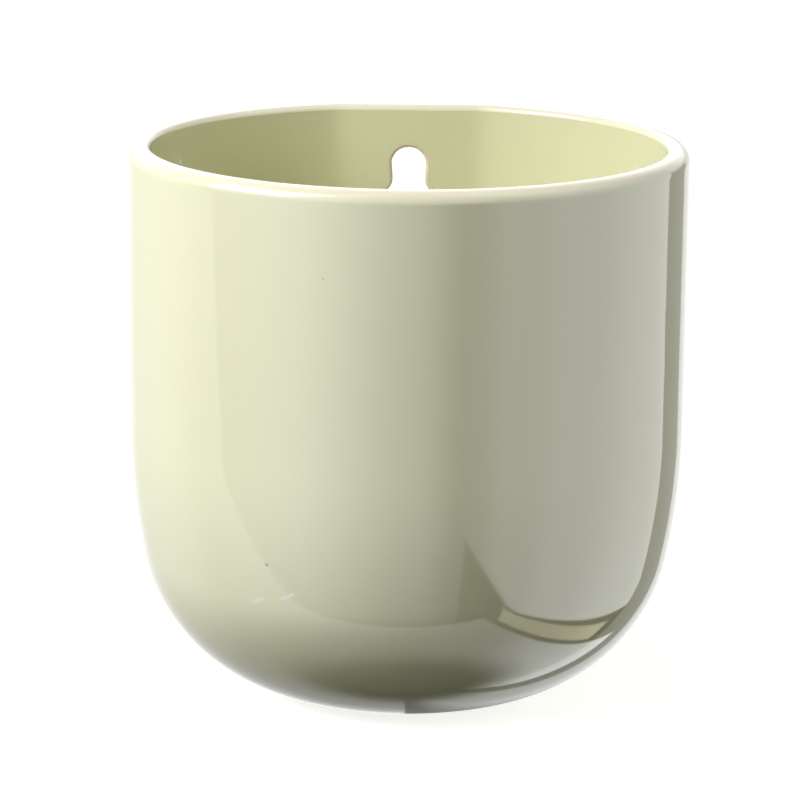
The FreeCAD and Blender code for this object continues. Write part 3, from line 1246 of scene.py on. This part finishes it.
@dataclass
class Studio:
    """The floor, the surroundings, the lamps and the camera."""

    target: Place = (0, 0.5 * MM, 86 * MM)
    distance: float = 1190 * MM
    elevation: float = 15.32
    roll: float = 0.502
    focal_pixels: float = 3859.6
    middle_pixel: Pair = (406.5, 419.5)
    sensor: float = 36.0
    clip: Pair = (0.01, 50.0)
    lamp_aim: Place = (0, 0, 90 * MM)
    lamps: tuple[Lamp, ...] = (
        Lamp("window", (-0.84, -0.45, 0.85), (0.8, 0.8), 7.8),
        Lamp("side_fill", (1.0, 0.05, 0.25), (0.9, 0.6), 1.5, mirrored=False),
    )
    floor_size: float = 12.0
    floor_tone: float = 0.9
    floor_glow: float = 0.75
    floor_bounce: float = 0.12

    def add_camera(self) -> None:
        """Set the camera at the photograph's angle and framing."""
        angle = math.radians(self.elevation)
        back = Vector((0, -math.cos(angle), math.sin(angle)))
        data = bpy.data.cameras.new("camera")
        camera = bpy.data.objects.new("camera", data)
        bpy.context.scene.collection.objects.link(camera)
        camera.location = Vector(self.target) + back * self.distance
        turn = (-back).to_track_quat("-Z", "Y").to_matrix()
        camera.rotation_euler = (turn @ Matrix.Rotation(math.radians(self.roll), 3, "Z")).to_euler()
        data.sensor_width = self.sensor
        data.lens = self.focal_pixels / PHOTO_SIDE * self.sensor
        half = PHOTO_SIDE / 2
        data.shift_x = (half - self.middle_pixel[0]) / PHOTO_SIDE
        data.shift_y = (self.middle_pixel[1] - half) / PHOTO_SIDE
        data.clip_start, data.clip_end = self.clip
        bpy.context.scene.camera = camera

    def add_floor(self) -> None:
        """Add the pale floor, white to the camera with the object's soft shadow kept on it."""
        deselect_all()
        bpy.ops.mesh.primitive_plane_add(size=self.floor_size)
        floor = bpy.context.object
        floor.name = "floor"
        sheet = Sheet.of_material("pale_floor")
        paper = sheet.add("ShaderNodeBsdfDiffuse", Color=(*(self.floor_tone,) * 3, 1))
        dim = sheet.add("ShaderNodeBsdfDiffuse", Color=(*(self.floor_bounce,) * 3, 1))
        glow = sheet.add("ShaderNodeEmission", Strength=self.floor_glow)
        lit = sheet.join("ShaderNodeAddShader", None, paper, glow)
        seen = sheet.add("ShaderNodeLightPath").outputs["Is Camera Ray"]
        sheet.feed(sheet.output, "Surface", sheet.join("ShaderNodeMixShader", None, seen, dim, lit))
        floor.data.materials.append(sheet.material)
        floor.visible_glossy = False

    def build(self) -> None:
        """Set up the whole studio."""
        self.add_camera()
        self.add_floor()
        Surroundings().build()
        for lamp in self.lamps:
            lamp.add(self.lamp_aim)
        bpy.context.scene.view_settings.view_transform = "Standard"


# ---------------- the whole


def dress(piece: bpy.types.Object, material: bpy.types.Material, node: Node) -> None:
    """Give a piece its finish and say which node it stands for.

    Args:
        piece: the piece.
        material: its finish.
        node: the frame's node that it replaces.
    """
    piece.data.materials.clear()
    piece.data.materials.append(material)
    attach(piece, BODY)
    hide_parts(node.value)
    LOG.info("%s stands for %s, %d faces", piece.name, node.value, len(piece.data.polygons))


def on_pot(across: float, along: float, up: float) -> Place:
    """A place on the pot, given in millimetres."""
    return (across * MM, along * MM, up * MM)


def pit(place: Place, half_width: float, strength: float) -> Mark:
    """A round mark."""
    return Mark(place, place, half_width, strength)


# the marks that the photograph shows on the front
PITS = (
    pit(on_pot(-40.8, -61.2, 58.0), 0.7 * MM, 0.7),
    pit(on_pot(-24.3, -68.7, 146.5), 0.5 * MM, 0.35),
)
SCUFFS = (
    Mark(on_pot(-45.1, -56.8, 45.1), on_pot(-42.0, -58.8, 47.0), 0.9 * MM, 0.5),
    Mark(on_pot(-36.6, -61.4, 47.6), on_pot(-33.0, -63.3, 49.8), 0.7 * MM, 0.8),
    Mark(on_pot(-46.9, -55.3, 43.4), on_pot(-41.3, -56.3, 36.2), 0.5 * MM, 0.22),
    Mark(on_pot(-41.2, -58.5, 43.2), on_pot(-40.0, -57.6, 38.3), 0.5 * MM, 0.14),
    pit(on_pot(-24.1, -62.7, 35.4), 0.7 * MM, 0.5),
)


def main() -> None:
    """Build the pot and its pads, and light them."""
    logging.basicConfig(level=logging.INFO, format="%(name)s: %(message)s")
    clouds, specks, stroke = cloud_group(), speck_group(), stroke_group()
    casting = PotCasting(*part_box(Node.POT.value))
    glaze = Glaze(casting, pits=PITS, scuffs=SCUFFS).build(clouds, specks, stroke)
    dress(casting.build(), glaze, Node.POT)
    plastic = SoftPlastic().build(clouds, specks)
    for node in (Node.PAD_LEFT, Node.PAD_RIGHT):
        pad = WallPad(*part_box(node.value), name=node.value.replace("wall", "soft"))
        dress(pad.build(), plastic, node)
    Studio().build()


if __name__ == "__main__":
    main()
